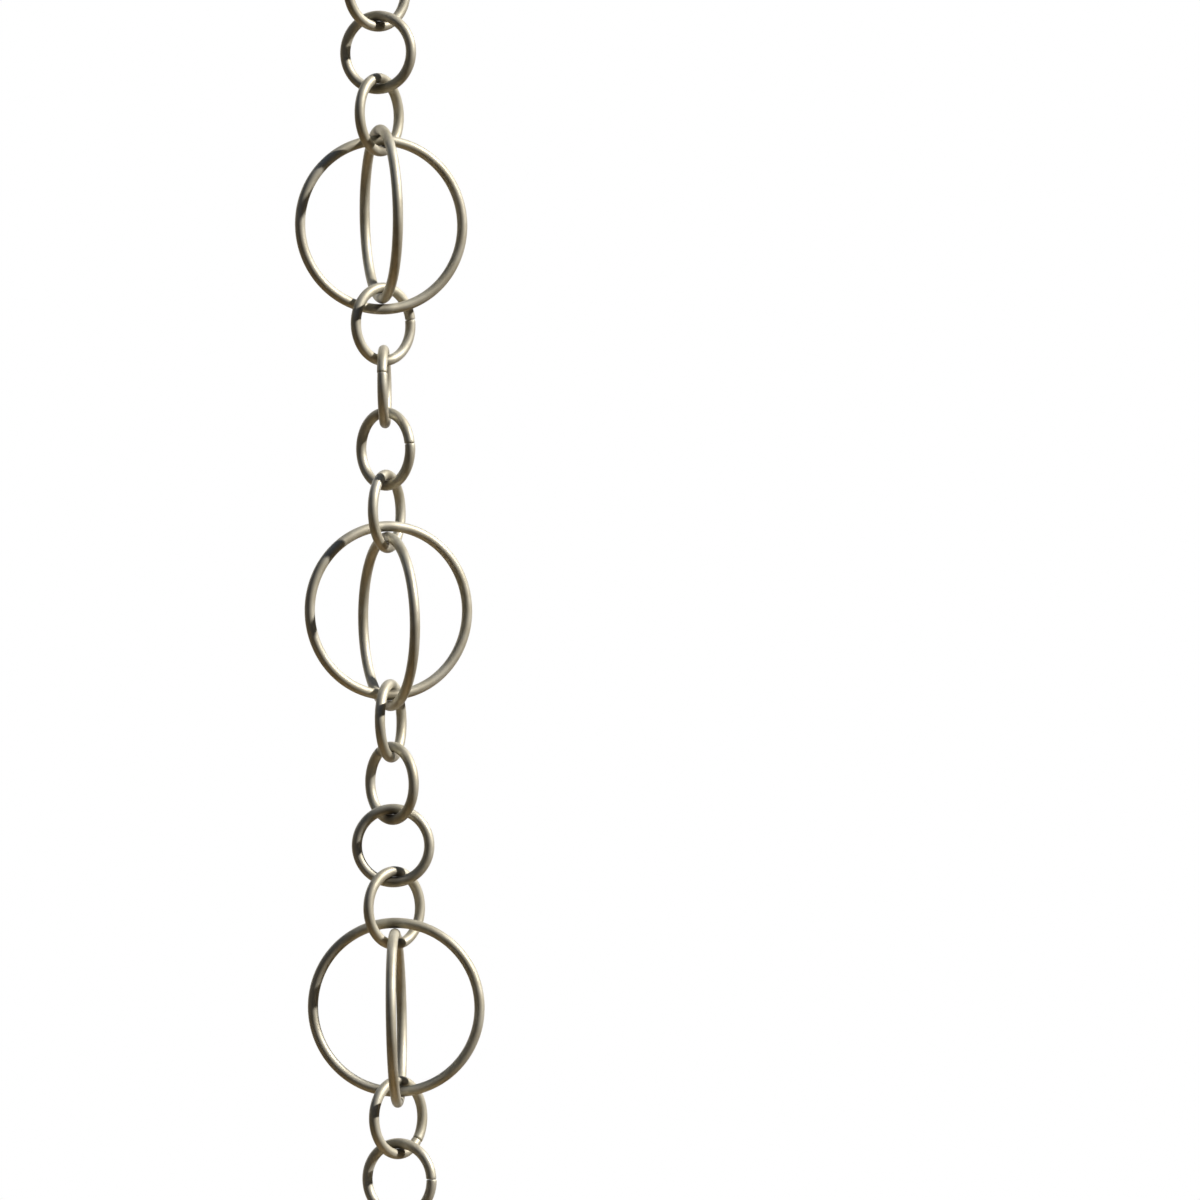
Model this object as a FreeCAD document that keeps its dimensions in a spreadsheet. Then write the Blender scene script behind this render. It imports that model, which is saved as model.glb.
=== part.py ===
"""Rain chain of round steel wire: pairs of large hoops crossed into open globes, hung between runs of small rings.

Millimetres, +Z up. The origin is where the chain hangs, the highest point inside the eye of its top ring,
and the chain hangs down the Z axis from there. Every ring stands in a vertical plane through that axis.
"""

import FreeCAD, Part
import os
import Sketcher

doc = FreeCAD.newDocument("rain_chain")
sheet = doc.addObject("Spreadsheet::Sheet", "sizes")

# Driving sizes, in millimetres.
SIZES = {
    "wire_diameter": 6.0,
    "small_ring_inside": 36.5,
    "large_hoop_inside": 92.0,
    "hanging_gap": 0.3,
    "seam_gap": 0.25,
    "seam_edge_round": 0.6,
}

# One row for each ring, from the top of the chain down: its name, its kind, the turn of its plane about the
# chain's axis, from +X towards +Y, and how far its seam lies from its top, along the ring. In degrees.
SMALL = "small ring, bent shut with a butted seam"
LOWER = "lower hoop of a globe, hung on the small ring above"
UPPER = "upper hoop of a globe, lying across the lower one"
RINGS = [
    ("link_ring_01", SMALL, 90.0, 90.0),
    ("link_ring_02", SMALL, 40.0, 60.0),
    ("link_ring_03", SMALL, -25.0, 330.0),
    ("link_ring_04", SMALL, 59.0, 31.0),
    ("globe_1_lower_hoop", LOWER, 17.5, None),
    ("globe_1_upper_hoop", UPPER, -77.5, None),
    ("link_ring_05", SMALL, 43.0, 82.0),
    ("link_ring_06", SMALL, 88.0, 290.0),
    ("link_ring_07", SMALL, -47.0, 82.0),
    ("link_ring_08", SMALL, 69.0, 30.0),
    ("globe_2_lower_hoop", LOWER, -71.0, None),
    ("globe_2_upper_hoop", UPPER, 22.5, None),
    ("link_ring_09", SMALL, 74.0, 48.0),
    ("link_ring_10", SMALL, -52.5, 330.0),
    ("link_ring_11", SMALL, -7.5, 25.0),
    ("link_ring_12", SMALL, 46.5, 38.0),
    ("globe_3_lower_hoop", LOWER, 87.5, None),
    ("globe_3_upper_hoop", UPPER, -8.5, None),
    ("link_ring_13", SMALL, 50.0, 130.0),
    ("link_ring_14", SMALL, -28.0, 88.0),
    ("link_ring_15", SMALL, 70.0, 270.0),
    ("link_ring_16", SMALL, 0.0, 90.0),
]

UPRIGHT = FreeCAD.Vector(0, 0, 1)
RING_AXIS = FreeCAD.Vector(0, 1, 0)
QUARTER_TURN = 90
FULL_TURN = 360


def add_size(alias, value):
    """Puts one driving size in the next row of the sheet, under its own name."""
    row = len(added) + 1
    sheet.set(f"A{row}", alias)
    sheet.set(f"B{row}", str(value))
    sheet.setAlias(f"B{row}", alias)
    added.append(alias)


added = []
for alias, value in SIZES.items():
    add_size(alias, value)
for name, kind, turn, seam in RINGS:
    add_size(f"{name}_turn", turn)
    if kind == SMALL:
        add_size(f"{name}_seam", seam)
doc.recompute()


def mean_radius(kind):
    """The radius of the wire's centre line, as an expression."""
    inside = "small_ring_inside" if kind == SMALL else "large_hoop_inside"
    return f"(sizes.{inside} + sizes.wire_diameter) / 2"


def wire_section(body, kind):
    """The wire's round section, beside the ring's axis in a plane through it."""
    sketch = body.newObject("Sketcher::SketchObject", f"{body.Name}_wire")
    plane = next(f for f in body.Origin.OriginFeatures if f.Role == "XY_Plane")
    sketch.AttachmentSupport = [(plane, "")]
    sketch.MapMode = "FlatFace"
    inside = sheet.get("small_ring_inside" if kind == SMALL else "large_hoop_inside")
    wire = sheet.get("wire_diameter")
    centre = FreeCAD.Vector((float(inside) + float(wire)) / 2, 0, 0)
    circle = sketch.addGeometry(Part.Circle(centre, UPRIGHT, float(wire) / 2), False)
    sketch.addConstraint(Sketcher.Constraint("PointOnObject", circle, 3, -1))
    across = sketch.addConstraint(Sketcher.Constraint("Diameter", circle, float(wire)))
    out = sketch.addConstraint(Sketcher.Constraint("DistanceX", -1, 1, circle, 3, centre.x))
    sketch.renameConstraint(across, "wire_diameter")
    sketch.renameConstraint(out, "mean_radius")
    sketch.setExpression("Constraints.wire_diameter", "sizes.wire_diameter")
    sketch.setExpression("Constraints.mean_radius", mean_radius(kind))
    return sketch


def bent_ring(body, sketch, kind, seam):
    """The section turned about the ring's axis: all the way for a hoop, short of its seam for a small ring."""
    ring = body.newObject("PartDesign::Revolution", f"{body.Name}_bend")
    ring.Profile = sketch
    ring.ReferenceAxis = (sketch, ["V_Axis"])
    ring.Midplane = True
    ring.Angle = FULL_TURN
    if kind == SMALL:
        # the section stands across the ring from the seam, and the wire runs both ways from it
        across = FreeCAD.Rotation(RING_AXIS, QUARTER_TURN + seam)
        sketch.AttachmentOffset = FreeCAD.Placement(FreeCAD.Vector(), across)
        sketch.setExpression("AttachmentOffset.Rotation.Angle", f"{QUARTER_TURN} + sizes.{body.Name}_seam")
        ring.setExpression("Angle", f"{FULL_TURN} - sizes.seam_gap / ({mean_radius(kind)}) * 180 / pi")
    doc.recompute()
    return ring


def round_cut_ends(body, ring):
    """Rounds the edges where the wire was cut, on both faces of the seam."""
    cut_faces = [f for f in ring.Shape.Faces if isinstance(f.Surface, Part.Plane)]
    rims = [
        f"Edge{n}"
        for n, edge in enumerate(ring.Shape.Edges, 1)
        if any(edge.isSame(rim) for face in cut_faces for rim in face.Edges)
    ]
    rounded = body.newObject("PartDesign::Fillet", f"{body.Name}_cut_ends")
    rounded.Base = (ring, rims)
    rounded.Radius = float(sheet.get("seam_edge_round"))
    rounded.setExpression("Radius", "sizes.seam_edge_round")


def hang(body, kind, turn, carrier, carrier_kind):
    """Sets a ring's place: on the carrier's lowest wire, or, for an upper hoop, across the top of the lower one."""
    body.Placement = FreeCAD.Placement(FreeCAD.Vector(), FreeCAD.Rotation(UPRIGHT, turn))
    body.setExpression("Placement.Rotation.Angle", f"sizes.{body.Name}_turn")
    lift = "(sizes.wire_diameter + sizes.hanging_gap)"
    if carrier is None:
        place = "-sizes.small_ring_inside / 2"
    elif kind == UPPER:
        place = f"{carrier.Name}.Placement.Base.z + {lift} * 1 mm"
    else:
        drop = f"{mean_radius(carrier_kind)} + {mean_radius(kind)} - {lift}"
        place = f"{carrier.Name}.Placement.Base.z - ({drop}) * 1 mm"
    body.setExpression("Placement.Base.z", place)


bodies = []
carrier = None
carrier_kind = None
for name, kind, turn, seam in RINGS:
    body = doc.addObject("PartDesign::Body", name)
    body.Label = name
    section = wire_section(body, kind)
    ring = bent_ring(body, section, kind, seam)
    if kind == SMALL:
        round_cut_ends(body, ring)
    hang(body, kind, turn, carrier, carrier_kind)
    bodies.append(body)
    carrier = body
    carrier_kind = kind
doc.recompute()

faults = [o.Name for o in doc.Objects if {"Invalid", "Error"} & set(o.State)]
faults += [b.Label for b in bodies if b.Shape.isNull() or not b.Shape.isValid()]
if faults:
    raise RuntimeError(f"these did not build: {faults}")

os.makedirs("parts", exist_ok=True)
for body in bodies:
    body.Shape.exportStep(f"parts/{body.Label}.step")
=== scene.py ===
import math

import bpy
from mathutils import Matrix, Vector


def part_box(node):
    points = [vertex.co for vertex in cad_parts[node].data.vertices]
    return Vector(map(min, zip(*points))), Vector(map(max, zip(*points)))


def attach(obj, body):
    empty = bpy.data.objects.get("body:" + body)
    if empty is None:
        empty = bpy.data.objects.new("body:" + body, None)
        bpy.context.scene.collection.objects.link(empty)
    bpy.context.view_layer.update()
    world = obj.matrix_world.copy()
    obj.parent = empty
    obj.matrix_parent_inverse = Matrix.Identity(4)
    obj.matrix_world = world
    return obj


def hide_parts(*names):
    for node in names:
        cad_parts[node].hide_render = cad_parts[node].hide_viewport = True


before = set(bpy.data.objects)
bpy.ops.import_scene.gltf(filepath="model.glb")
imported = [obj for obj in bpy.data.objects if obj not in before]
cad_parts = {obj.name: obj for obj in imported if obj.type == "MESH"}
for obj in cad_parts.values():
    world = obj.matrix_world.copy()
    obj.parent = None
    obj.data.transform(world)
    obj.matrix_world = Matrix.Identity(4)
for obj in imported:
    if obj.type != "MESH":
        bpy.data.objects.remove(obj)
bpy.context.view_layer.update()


# Small rings: sixteen links of round stainless wire, 6 mm thick, drawn through a die and coiled on a bar.
# Each turn of the coil was cut off as one ring and bent shut round its neighbours with pliers,
# so its two cut ends meet in a butted seam that never closes quite flush.
wire_diameter = 0.0060
small_inside = 0.0365
seam_gap = 0.00025
cut_edge_round = 0.0006
cut_edge_segments = 3
round_profile = 0.5
cut_end_step = 0.00015
step_reach = math.radians(40)
wire_sides = 32
small_ring_steps = 96
smooth_angle = math.radians(40)
merge_distance = 0.000006
edge_on = math.radians(89.9)
whole_turn = 2 * math.pi

# Where each seam lies, in degrees from the ring's top towards the +X side.
seams = {
    "link_ring_01": 90,
    "link_ring_02": 60,
    "link_ring_03": 330,
    "link_ring_04": 31,
    "link_ring_05": 82,
    "link_ring_06": 290,
    "link_ring_07": 82,
    "link_ring_08": 30,
    "link_ring_09": 48,
    "link_ring_10": 330,
    "link_ring_11": 25,
    "link_ring_12": 38,
    "link_ring_13": 130,
    "link_ring_14": 88,
    "link_ring_15": 270,
    "link_ring_16": 90,
}


def stance(node):
    """How high a ring's centre hangs and the turn of its plane from +X, both read from its solid."""
    low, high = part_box(node)
    points = [v.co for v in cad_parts[node].data.vertices]
    across = sum(p.x * p.y for p in points)
    apart = sum(p.x * p.x - p.y * p.y for p in points)
    turn = math.atan2(2 * across, apart) / 2
    if turn < -edge_on:
        # a ring that stands edge-on to the front is turned by +90 degrees, as its seam is measured
        turn += math.pi
    return (low.z + high.z) / 2, turn


def bend_wire(name, inside, cut, steps):
    """One ring standing in the XZ plane round the origin, with any cut in it at the top."""
    mean = (inside + wire_diameter) / 2
    half_cut = cut / mean / 2
    bpy.ops.object.select_all(action="DESELECT")
    bpy.ops.mesh.primitive_circle_add(
        vertices=wire_sides,
        radius=wire_diameter / 2,
        location=(mean * math.sin(half_cut), 0, mean * math.cos(half_cut)),
        rotation=(0, math.pi / 2 + half_cut, 0),
    )
    ring = bpy.context.active_object
    ring.name = name
    bpy.ops.object.transform_apply(location=True, rotation=True, scale=True)
    bpy.ops.object.mode_set(mode="EDIT")
    bpy.ops.mesh.select_all(action="SELECT")
    bpy.ops.mesh.spin(steps=steps, angle=whole_turn - 2 * half_cut, center=(0, 0, 0), axis=(0, 1, 0))
    bpy.ops.mesh.select_all(action="SELECT")
    bpy.ops.mesh.remove_doubles(threshold=merge_distance)
    if cut:
        bpy.ops.mesh.fill_holes(sides=wire_sides)
        bpy.ops.mesh.select_all(action="DESELECT")
        bpy.ops.mesh.select_face_by_sides(number=wire_sides, type="EQUAL")
        bpy.ops.mesh.region_to_loop()
        bpy.ops.mesh.bevel(
            offset=cut_edge_round, segments=cut_edge_segments, profile=round_profile, affect="EDGES"
        )
        bpy.ops.mesh.select_all(action="SELECT")
    bpy.ops.mesh.normals_make_consistent(inside=False)
    bpy.ops.object.mode_set(mode="OBJECT")
    bpy.ops.object.shade_smooth_by_angle(angle=smooth_angle)
    return ring


def near(angle, other):
    """The angle, give or take whole turns, that lies nearest to the other one."""
    return angle + whole_turn * round((other - angle) / whole_turn)


def unroll(ring, mean):
    """Lays the UV map: U runs once along the wire from the ring's top, and V once round the wire."""
    mesh = ring.data
    unrolled = mesh.uv_layers.new(name="along_and_round")

    def angles(point):
        along = math.atan2(point.x, point.z)
        out = math.hypot(point.x, point.z) - mean
        return along, math.atan2(point.y, out)

    for face in mesh.polygons:
        face_along, face_round = angles(face.center)
        face_along %= whole_turn
        for corner in face.loop_indices:
            along, around = angles(mesh.vertices[mesh.loops[corner].vertex_index].co)
            along = near(along, face_along)
            around = near(around, face_round)
            unrolled.data[corner].uv = (along / whole_turn, around / whole_turn + 0.5)


def step_cut_ends(ring):
    """Springs the two cut ends a little past each other, sideways."""
    for vertex in ring.data.vertices:
        along = math.atan2(vertex.co.x, vertex.co.z)
        share = max(0.0, 1 - abs(along) / step_reach)
        vertex.co.y += math.copysign(cut_end_step * share * share, along)


def linear(colour):
    """A hex sRGB colour as linear red, green, blue and alpha."""
    parts = [int(colour[n:n + 2], 16) / 255 for n in (1, 3, 5)]
    return [p / 12.92 if p <= 0.04045 else ((p + 0.055) / 1.055) ** 2.4 for p in parts] + [1.0]


def add_node(tree, kind, settings=None, inputs=None):
    """Adds one node with its settings; an input given a socket is linked, and one given a value is set."""
    made = tree.nodes.new(kind)
    for key, value in (settings or {}).items():
        setattr(made, key, value)
    for key, value in (inputs or {}).items():
        if isinstance(value, bpy.types.NodeSocket):
            tree.links.new(value, made.inputs[key])
        else:
            made.inputs[key].default_value = value
    return made


def fill_ramp(ramp, stops):
    """Gives a colour ramp its stops: places with hex colours."""
    elements = ramp.color_ramp.elements
    while len(elements) < len(stops):
        elements.new(1.0)
    for element, (place, colour) in zip(elements, stops):
        element.position = place
        element.color = linear(colour)


# Drawn stainless wire: the die leaves fine lines along it and a satin skin with a broad, soft highlight.
# Handling and weather dull it to a warm grey in patches. Where the links bear on each other the rain
# leaves a thin crust of grime, which fills the last of the gap between them; the dark colour there is
# partly that grime, partly painted shade.
bright_steel = "#E7E5DA"
dull_steel = "#D2CDBB"
# Dark colour laid on where the links bear: partly grime, partly painted shade for the shadow between them.
grime_and_painted_shade = "#4A4130"
dulling_starts = 0.35
dulling_done = 0.68
grime_and_shade_starts = 0.05
grime_and_shade_done = 0.6
grime_and_shade_cover = 0.7

# Drawing lines are finer than this on real wire: these are as coarse as they need to be to show.
line_width = 0.00045
line_length = 0.030
line_depth = 0.00003
line_detail = 3.0
faint_line = 0.3
strong_line = 0.7
patch_size = 0.016
patch_detail = 5.0
patch_roughness = 0.6
pit_size = 0.0011
pit_detail = 2.0
relief_strength = 0.5

# Dried dirt and oxide cover part of the skin, so only this share of it shines as bare metal.
bare_metal = 0.6
satin_roughness = 0.54
dulled_roughness = 0.64


def drawn_wire(name, inside):
    """The wire's finish; the inside diameter sets how long the drawing lines are on this ring."""
    material = bpy.data.materials.new(name)
    material.use_nodes = True
    tree = material.node_tree
    tree.nodes.clear()
    mean = (inside + wire_diameter) / 2
    stretch = (mean / line_length, wire_diameter / 2 / line_width, 0)
    uv = add_node(tree, "ShaderNodeUVMap", {"uv_map": "along_and_round"})
    turn = add_node(
        tree,
        "ShaderNodeVectorMath",
        {"operation": "MULTIPLY"},
        {0: uv.outputs["UV"], 1: (whole_turn, whole_turn, 0)},
    )
    cosines = add_node(tree, "ShaderNodeVectorMath", {"operation": "COSINE"}, {0: turn.outputs["Vector"]})
    sines = add_node(tree, "ShaderNodeVectorMath", {"operation": "SINE"}, {0: turn.outputs["Vector"]})
    out_across = add_node(
        tree, "ShaderNodeVectorMath", {"operation": "MULTIPLY"}, {0: cosines.outputs["Vector"], 1: stretch}
    )
    up_across = add_node(
        tree, "ShaderNodeVectorMath", {"operation": "MULTIPLY"}, {0: sines.outputs["Vector"], 1: stretch}
    )
    out_parts = add_node(tree, "ShaderNodeSeparateXYZ", None, {"Vector": out_across.outputs["Vector"]})
    up_parts = add_node(tree, "ShaderNodeSeparateXYZ", None, {"Vector": up_across.outputs["Vector"]})
    wrapped = add_node(
        tree,
        "ShaderNodeCombineXYZ",
        None,
        {"X": out_parts.outputs["X"], "Y": out_parts.outputs["Y"], "Z": up_parts.outputs["Y"]},
    )
    lines = add_node(
        tree,
        "ShaderNodeTexNoise",
        {"noise_dimensions": "4D"},
        {
            "Vector": wrapped.outputs["Vector"],
            "W": up_parts.outputs["X"],
            "Scale": 1.0,
            "Detail": line_detail,
        },
    )
    place = add_node(tree, "ShaderNodeTexCoord")
    patches = add_node(
        tree,
        "ShaderNodeTexNoise",
        None,
        {
            "Vector": place.outputs["Object"],
            "Scale": 1 / patch_size,
            "Detail": patch_detail,
            "Roughness": patch_roughness,
        },
    )
    pits = add_node(
        tree,
        "ShaderNodeTexNoise",
        None,
        {"Vector": place.outputs["Object"], "Scale": 1 / pit_size, "Detail": pit_detail},
    )
    dulled = add_node(tree, "ShaderNodeValToRGB", None, {"Fac": patches.outputs["Fac"]})
    fill_ramp(dulled, [(dulling_starts, bright_steel), (dulling_done, dull_steel)])
    bearing = add_node(tree, "ShaderNodeAttribute", {"attribute_name": "bearing"})
    # Painted shade and grime: the wire darkens towards the points where the links bear on each other.
    grime_and_shade_share = add_node(
        tree,
        "ShaderNodeMapRange",
        None,
        {
            "Value": bearing.outputs["Fac"],
            "From Min": grime_and_shade_starts,
            "From Max": grime_and_shade_done,
            "To Min": 0.0,
            "To Max": grime_and_shade_cover,
        },
    )
    # a Mix node's inputs 6 and 7 and its output 2 are the colours
    colour = add_node(
        tree,
        "ShaderNodeMix",
        {"data_type": "RGBA"},
        {"Factor": grime_and_shade_share.outputs["Result"], 6: dulled.outputs["Color"], 7: linear(grime_and_painted_shade)},
    )
    sheen = add_node(
        tree,
        "ShaderNodeMapRange",
        None,
        {
            "Value": lines.outputs["Fac"],
            "From Min": faint_line,
            "From Max": strong_line,
            "To Min": satin_roughness,
            "To Max": dulled_roughness,
        },
    )
    relief = add_node(
        tree,
        "ShaderNodeMath",
        {"operation": "ADD"},
        {0: lines.outputs["Fac"], 1: pits.outputs["Fac"]},
    )
    bump = add_node(
        tree,
        "ShaderNodeBump",
        None,
        {"Strength": relief_strength, "Distance": line_depth, "Height": relief.outputs["Value"]},
    )
    surface = add_node(
        tree,
        "ShaderNodeBsdfPrincipled",
        None,
        {
            "Base Color": colour.outputs[2],
            "Metallic": bare_metal,
            "Roughness": sheen.outputs["Result"],
            "Normal": bump.outputs["Normal"],
        },
    )
    add_node(tree, "ShaderNodeOutputMaterial", None, {"Surface": surface.outputs["BSDF"]})
    return material


nodes_from_the_top = sorted(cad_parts, key=lambda node: -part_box(node)[1].z)
bearing_heights = [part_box(node)[0].z + wire_diameter for node in nodes_from_the_top]
bearing_heights += [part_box(node)[1].z for node in nodes_from_the_top if "lower_hoop" in node]
bearing_reach = 0.0075
crust = 0.00013


def hang(pattern, node, seam, material):
    """A copy of the pattern ring, set where its node is, darkened where it bears by grime and painted
    shade, and a little swollen there.
    """
    height, turn = stance(node)
    ring = pattern.copy()
    ring.data = pattern.data.copy()
    ring.name = node.replace("link_", "").replace("_hoop", "") + "_wire"
    bpy.context.collection.objects.link(ring)
    bpy.ops.object.select_all(action="DESELECT")
    ring.select_set(True)
    bpy.context.view_layer.objects.active = ring
    ring.rotation_euler = (0, seam, turn)
    ring.location = (0, 0, height)
    bpy.ops.object.transform_apply(location=True, rotation=True, scale=True)
    # The bearing share darkens the wire in its material there, as grime and painted shade, and swells it
    # by the crust.
    bearing = ring.data.attributes.new("bearing", "FLOAT", "POINT")
    outward = [vertex.normal.copy() for vertex in ring.data.vertices]
    for vertex in ring.data.vertices:
        nearest = min((vertex.co - Vector((0, 0, z))).length for z in bearing_heights)
        share = max(0.0, 1 - nearest / bearing_reach)
        bearing.data[vertex.index].value = share
        vertex.co += outward[vertex.index] * crust * share * share
    ring.data.materials.clear()
    ring.data.materials.append(material)
    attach(ring, node)
    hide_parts(node)


small_ring = bend_wire("small_ring_pattern", small_inside, seam_gap, small_ring_steps)
unroll(small_ring, (small_inside + wire_diameter) / 2)
step_cut_ends(small_ring)
small_ring_wire = drawn_wire("drawn stainless wire, small rings", small_inside)
for node, seam in seams.items():
    hang(small_ring, node, math.radians(seam), small_ring_wire)
bpy.data.objects.remove(small_ring)


# Large hoops: six closed rings of the same wire, two to a globe, their ends butt-welded and dressed flush.
# The lower hoop hangs on a small ring, and the upper one lies across it, at about a right angle.
large_inside = 0.0920
hoop_steps = 180

hoop = bend_wire("hoop_pattern", large_inside, 0, hoop_steps)
unroll(hoop, (large_inside + wire_diameter) / 2)
hoop_wire = drawn_wire("drawn stainless wire, large hoops", large_inside)
for node in nodes_from_the_top:
    if node.endswith("_hoop"):
        hang(hoop, node, 0, hoop_wire)
bpy.data.objects.remove(hoop)


# Floor: pale sand-coloured ground, as far below the hanging eye as under a low eave, out of the main view.
# It thins out to nothing round its edge, where the room's shade begins.
floor_height = -2.20
floor_radius = 1.30
floor_sides = 96
floor_full_to = 0.35
floor_colour = "#CDAF80"
floor_roughness = 0.9


def faded_stage(name, surface_kind, surface_inputs, full_to, gone_at, only_seen=False):
    """A material that is whole round its object's middle and thins out to nothing further off.

    One that is only seen shows to the camera, in metal and through glass, and neither lights nor shades.
    """
    material = bpy.data.materials.new(name)
    material.use_nodes = True
    tree = material.node_tree
    tree.nodes.clear()
    place = add_node(tree, "ShaderNodeTexCoord")
    off_middle = add_node(
        tree, "ShaderNodeVectorMath", {"operation": "LENGTH"}, {0: place.outputs["Object"]}
    )
    share = add_node(
        tree,
        "ShaderNodeMapRange",
        {"interpolation_type": "SMOOTHSTEP"},
        {
            "Value": off_middle.outputs["Value"],
            "From Min": full_to,
            "From Max": gone_at,
            "To Min": 1.0,
            "To Max": 0.0,
        },
    )
    amount = share.outputs["Result"]
    if only_seen:
        path = add_node(tree, "ShaderNodeLightPath")
        seen = add_node(
            tree,
            "ShaderNodeMath",
            {"operation": "MAXIMUM"},
            {0: path.outputs["Is Camera Ray"], 1: path.outputs["Is Glossy Ray"]},
        )
        seen_through = add_node(
            tree,
            "ShaderNodeMath",
            {"operation": "MAXIMUM"},
            {0: seen.outputs["Value"], 1: path.outputs["Is Transmission Ray"]},
        )
        seen_share = add_node(
            tree,
            "ShaderNodeMath",
            {"operation": "MULTIPLY"},
            {0: amount, 1: seen_through.outputs["Value"]},
        )
        amount = seen_share.outputs["Value"]
    nothing = add_node(tree, "ShaderNodeBsdfTransparent")
    surface = add_node(tree, surface_kind, None, surface_inputs)
    shown = add_node(
        tree,
        "ShaderNodeMixShader",
        None,
        {0: amount, 1: nothing.outputs["BSDF"], 2: surface.outputs[0]},
    )
    add_node(tree, "ShaderNodeOutputMaterial", None, {"Surface": shown.outputs["Shader"]})
    return material


bpy.ops.object.select_all(action="DESELECT")
bpy.ops.mesh.primitive_circle_add(
    vertices=floor_sides, radius=floor_radius, fill_type="NGON", location=(0, 0, floor_height)
)
floor = bpy.context.active_object
floor.name = "floor"
floor_sand = faded_stage(
    "pale sand floor",
    "ShaderNodeBsdfPrincipled",
    {"Base Color": linear(floor_colour), "Roughness": floor_roughness},
    floor_full_to,
    floor_radius,
)
floor.data.materials.append(floor_sand)


# Backdrop: a white card far behind the chain, plain white to the eye and mirrored in the wire's rims.
# It gives no other light, and well outside the main view it thins out to nothing, as the floor does.
card_distance = 10.0
card_size = 26.0
card_full_to = 2.5
card_colour = "#FFFFFF"
card_strength = 1.0

bpy.ops.object.select_all(action="DESELECT")
bpy.ops.mesh.primitive_plane_add(
    size=card_size, location=(0, card_distance, 0), rotation=(math.pi / 2, 0, 0)
)
card = bpy.context.active_object
card.name = "backdrop"
card_white = faded_stage(
    "plain white card",
    "ShaderNodeEmission",
    {"Color": linear(card_colour), "Strength": card_strength},
    card_full_to,
    card_size / 2,
    only_seen=True,
)
card.data.materials.append(card_white)


# Light: one key from the right, about a third of the way up, as the links' shadows on each other show,
# and a broad fill from behind, which the front view hardly sees. Round them is a dim room,
# brighter behind and on the left, cool above and brown below, which the wire mirrors on its shaded side.
key_direction = Vector((0.797, -0.140, 0.588))
key_strength = 3.85
key_angle = math.radians(2.0)
fill_direction = Vector((-0.45, 0.84, 0.30))
fill_strength = 0.7
fill_angle = math.radians(60)
lamp_colour = "#FFF8EC"
room_bright = 1.00
room_dim = 0.22
bright_side = (-0.65, 0.76, 0.0)
sky_direction = (0.0, -0.30, 0.95)
room_colours = [(0.0, "#6E5636"), (0.45, "#655A42"), (0.65, "#5B5C5A"), (1.0, "#50607A")]


def add_lamp(name, direction, strength, angle):
    """A far lamp that shines from this direction, as broad as the angle that it fills."""
    light = bpy.data.lights.new(name, "SUN")
    light.energy = strength
    light.angle = angle
    light.color = linear(lamp_colour)[:3]
    lamp = bpy.data.objects.new(name, light)
    lamp.rotation_euler = direction.to_track_quat("Z", "Y").to_euler()
    bpy.context.collection.objects.link(lamp)


add_lamp("key", key_direction, key_strength, key_angle)
add_lamp("fill", fill_direction, fill_strength, fill_angle)

room = bpy.data.worlds.new("dim room")
bpy.context.scene.world = room
room.use_nodes = True
tree = room.node_tree
tree.nodes.clear()
towards = add_node(tree, "ShaderNodeTexCoord")
skyward = add_node(
    tree,
    "ShaderNodeVectorMath",
    {"operation": "DOT_PRODUCT"},
    {0: towards.outputs["Generated"], 1: sky_direction},
)
upward = add_node(
    tree,
    "ShaderNodeMapRange",
    None,
    {"Value": skyward.outputs["Value"], "From Min": -1.0, "From Max": 1.0},
)
walls = add_node(tree, "ShaderNodeValToRGB", None, {"Fac": upward.outputs["Result"]})
fill_ramp(walls, room_colours)
sideways = add_node(
    tree,
    "ShaderNodeVectorMath",
    {"operation": "DOT_PRODUCT"},
    {0: towards.outputs["Generated"], 1: bright_side},
)
level = add_node(
    tree,
    "ShaderNodeMapRange",
    None,
    {
        "Value": sideways.outputs["Value"],
        "From Min": -1.0,
        "From Max": 1.0,
        "To Min": room_dim,
        "To Max": room_bright,
    },
)
glow = add_node(
    tree,
    "ShaderNodeBackground",
    None,
    {"Color": walls.outputs["Color"], "Strength": level.outputs["Result"]},
)
add_node(tree, "ShaderNodeOutputWorld", None, {"Surface": glow.outputs["Background"]})


# Camera: level with the middle globe and far off, as through a long lens, leaning a little to one side.
# The width that it takes in at the chain comes from the hoops' size in the picture.
frame_width = 0.69637
camera_distance = 6.0
camera_lean = math.radians(1.084)
sensor_width = 36.0
camera_place = (0.12275, -camera_distance, -0.41082)

lens = bpy.data.cameras.new("camera")
lens.sensor_width = sensor_width
lens.lens = sensor_width * camera_distance / frame_width
camera = bpy.data.objects.new("camera", lens)
camera.location = camera_place
camera.rotation_euler = (math.pi / 2, camera_lean, 0)
bpy.context.collection.objects.link(camera)
bpy.context.scene.camera = camera
bpy.context.scene.view_settings.view_transform = "Standard"
